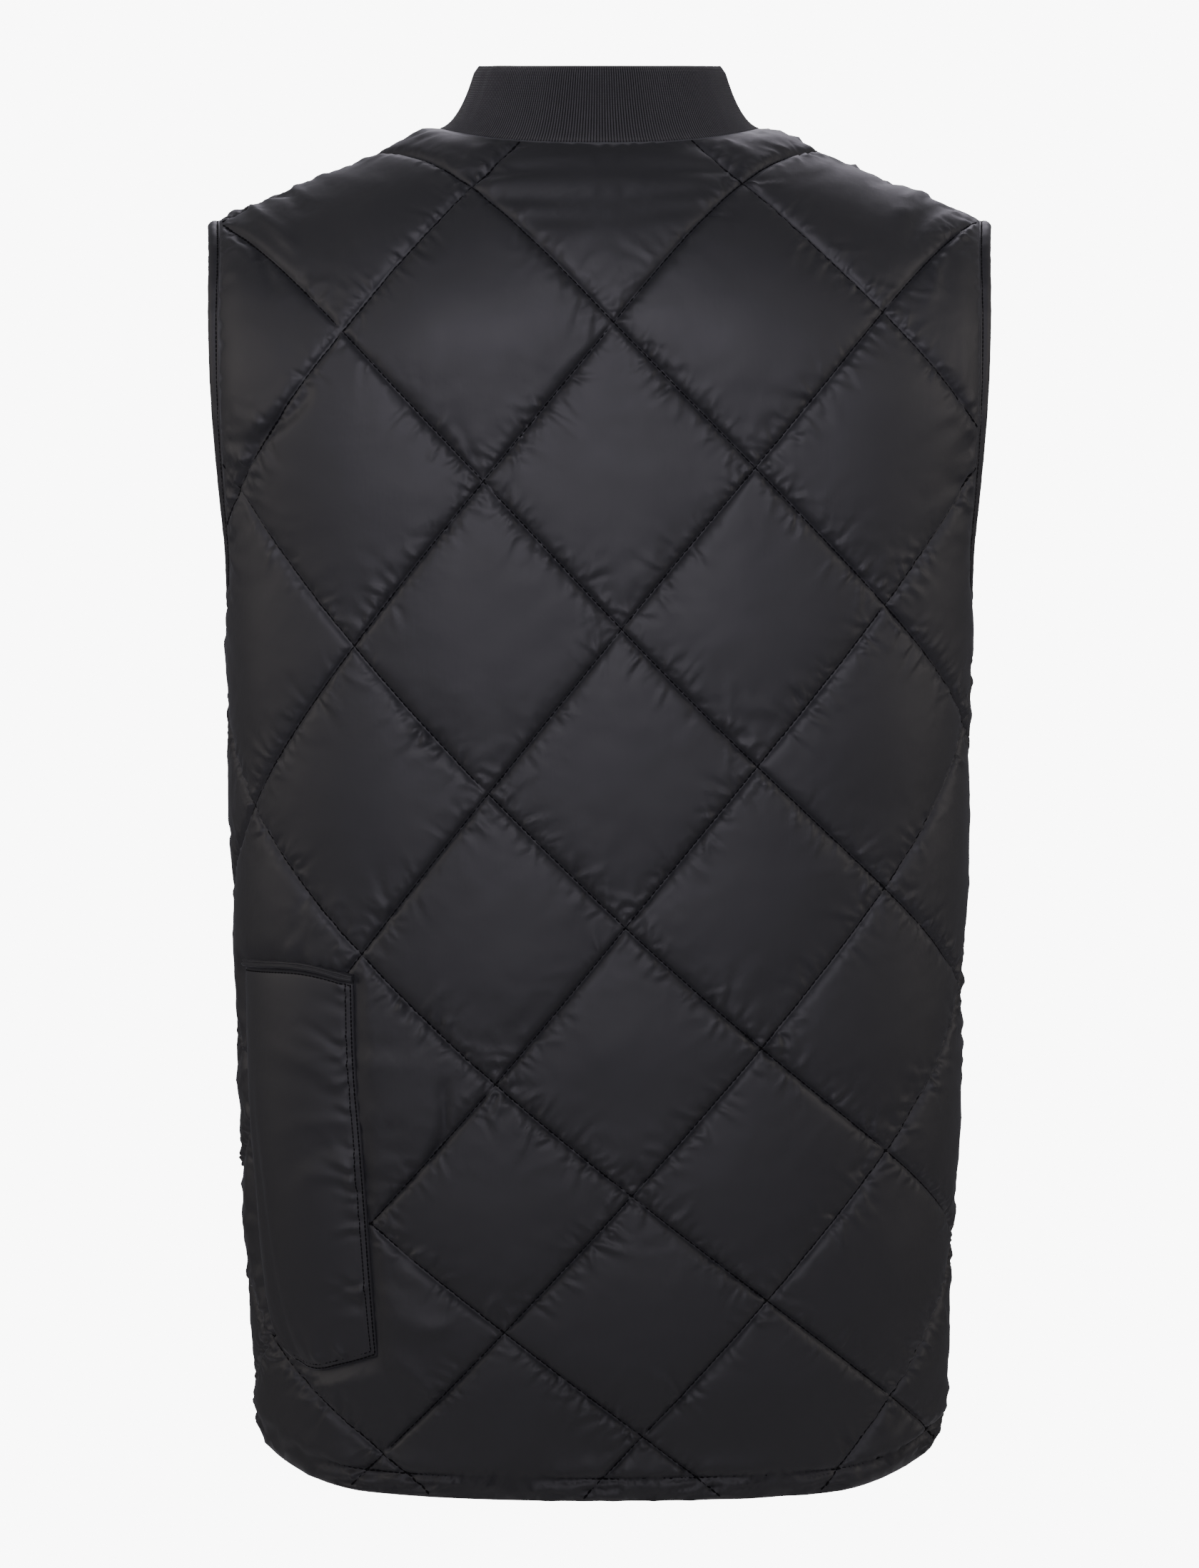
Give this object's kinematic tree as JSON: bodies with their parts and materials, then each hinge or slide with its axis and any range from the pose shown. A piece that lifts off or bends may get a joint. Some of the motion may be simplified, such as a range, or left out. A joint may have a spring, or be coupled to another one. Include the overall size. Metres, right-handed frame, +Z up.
{
  "type": "quilted vest",
  "caption": "Sleeveless padded vest with large diamond quilting, a rib-knit stand collar, bound armholes, a smooth hip patch and a front zip, in its worn, hollow form.",
  "frame": {"origin": "middle of the neck at the level of the shoulders, where a wearer's shoulders hold the vest", "axes": "+Z up along the wearer, -Y out of the chest, +X to the wearer's left"},
  "size_m": [0.4166, 0.2567, 0.7536],
  "materials": {
    "nylon": "satin black woven nylon, padded and quilted",
    "rib_knit": "matte black fine rib knit",
    "binding": "satin black folded nylon strip",
    "zip_tape": "matte black woven tape",
    "zip_teeth": "black moulded teeth",
    "black_metal": "satin black lacquered metal"
  },
  "bodies": {
    "garment": {"back_panel": "nylon", "front_left": "nylon", "front_right": "nylon", "collar": "rib_knit", "armhole_binding_left": "binding", "armhole_binding_right": "binding", "hip_patch": "nylon", "hip_patch_welt": "binding", "zip_tape_left": "zip_tape", "zip_tape_right": "zip_tape", "zip_chain": "zip_teeth", "zip_slider": "black_metal"},
    "pull_tab": {"zip_pull": "black_metal"}
  },
  "joints": [
    {"name": "pull_tab_swing", "type": "hinge", "parent": "garment", "child": "pull_tab", "pos_m": [0, -0.10943, -0.08118], "axis": [-1, 0, 0], "range_deg": [0, 150]}
  ]
}
